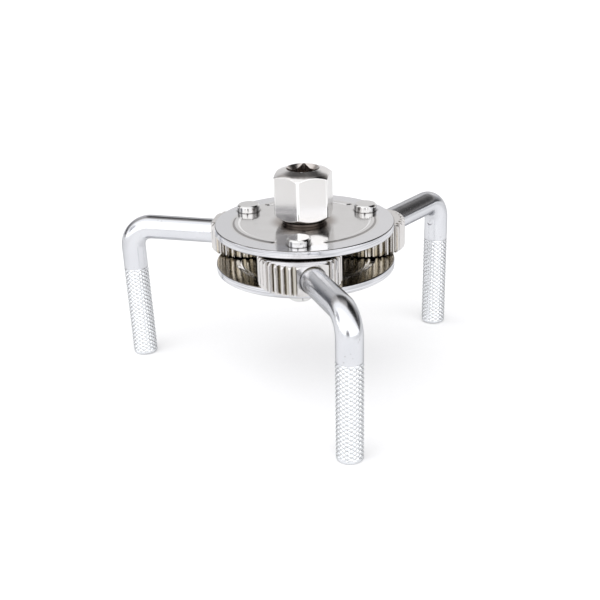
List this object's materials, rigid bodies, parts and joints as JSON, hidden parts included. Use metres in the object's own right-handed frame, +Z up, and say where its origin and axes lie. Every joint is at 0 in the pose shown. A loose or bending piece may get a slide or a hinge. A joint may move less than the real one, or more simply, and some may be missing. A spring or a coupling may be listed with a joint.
{
  "type": "oil filter wrench",
  "caption": "Geared claw wrench for spin-on oil filters: a hexagon drive head turns planet gears between round plates and swings bent knurled legs in to grip the can.",
  "frame": {"origin": "on the drive axis, at the centre of the hub's lower end face, where a filter's end stops", "axes": "+Z up along the drive axis towards the hexagon head and its square socket; -Y towards the first pivot pin; the three pivots stand at -90, 30 and 150 degrees about +Z"},
  "size_m": [0.1354, 0.1359, 0.0859],
  "materials": {
    "plate_chrome": "bright chrome over a finely brushed face",
    "hub_nickel": "satin nickel plate, machined",
    "gear_chrome": "bright plate with an oil film in the tooth gaps",
    "leg_zinc": "bright zinc plate, drawn bar with a rolled diamond knurl on the grip",
    "rivet_chrome": "bright chrome",
    "bush_steel": "turned steel, oiled",
    "washer_zinc": "zinc plate",
    "black_steel": "black oxide, oiled"
  },
  "bodies": {
    "frame": {"top_plate": "plate_chrome", "bottom_plate": "plate_chrome", "pivot_pin_1": "rivet_chrome", "pivot_pin_2": "rivet_chrome", "pivot_pin_3": "rivet_chrome", "pivot_bush_1": "bush_steel", "pivot_bush_2": "bush_steel", "pivot_bush_3": "bush_steel"},
    "hub": {"drive_hex": "hub_nickel", "sun_gear": "gear_chrome", "drive_key": "black_steel", "upper_washer": "black_steel", "lower_washer": "washer_zinc", "retaining_ring": "black_steel"},
    "leg_arm_1": {"planet_gear_1": "gear_chrome", "leg_1": "leg_zinc"},
    "leg_arm_2": {"planet_gear_2": "gear_chrome", "leg_2": "leg_zinc"},
    "leg_arm_3": {"planet_gear_3": "gear_chrome", "leg_3": "leg_zinc"}
  },
  "joints": [
    {"name": "hub_turn", "type": "hinge", "parent": "frame", "child": "hub", "pos_m": [0, 0, 0.0126], "axis": [0, 0, 1], "range_deg": [-117.5, 175.7]},
    {"name": "leg_1_swing", "type": "hinge", "parent": "frame", "child": "leg_arm_1", "pos_m": [0, -0.027, 0.0126], "axis": [0, 0, 1], "range_deg": [-143.8, 96.2]},
    {"name": "leg_2_swing", "type": "hinge", "parent": "frame", "child": "leg_arm_2", "pos_m": [0.02338, 0.0135, 0.0126], "axis": [0, 0, 1], "range_deg": [-143.8, 96.2]},
    {"name": "leg_3_swing", "type": "hinge", "parent": "frame", "child": "leg_arm_3", "pos_m": [-0.02338, 0.0135, 0.0126], "axis": [0, 0, 1], "range_deg": [-143.8, 96.2]}
  ],
  "couplings": [
    {"joint": "leg_1_swing", "follows": "hub_turn", "ratio": -0.81818},
    {"joint": "leg_2_swing", "follows": "hub_turn", "ratio": -0.81818},
    {"joint": "leg_3_swing", "follows": "hub_turn", "ratio": -0.81818}
  ]
}
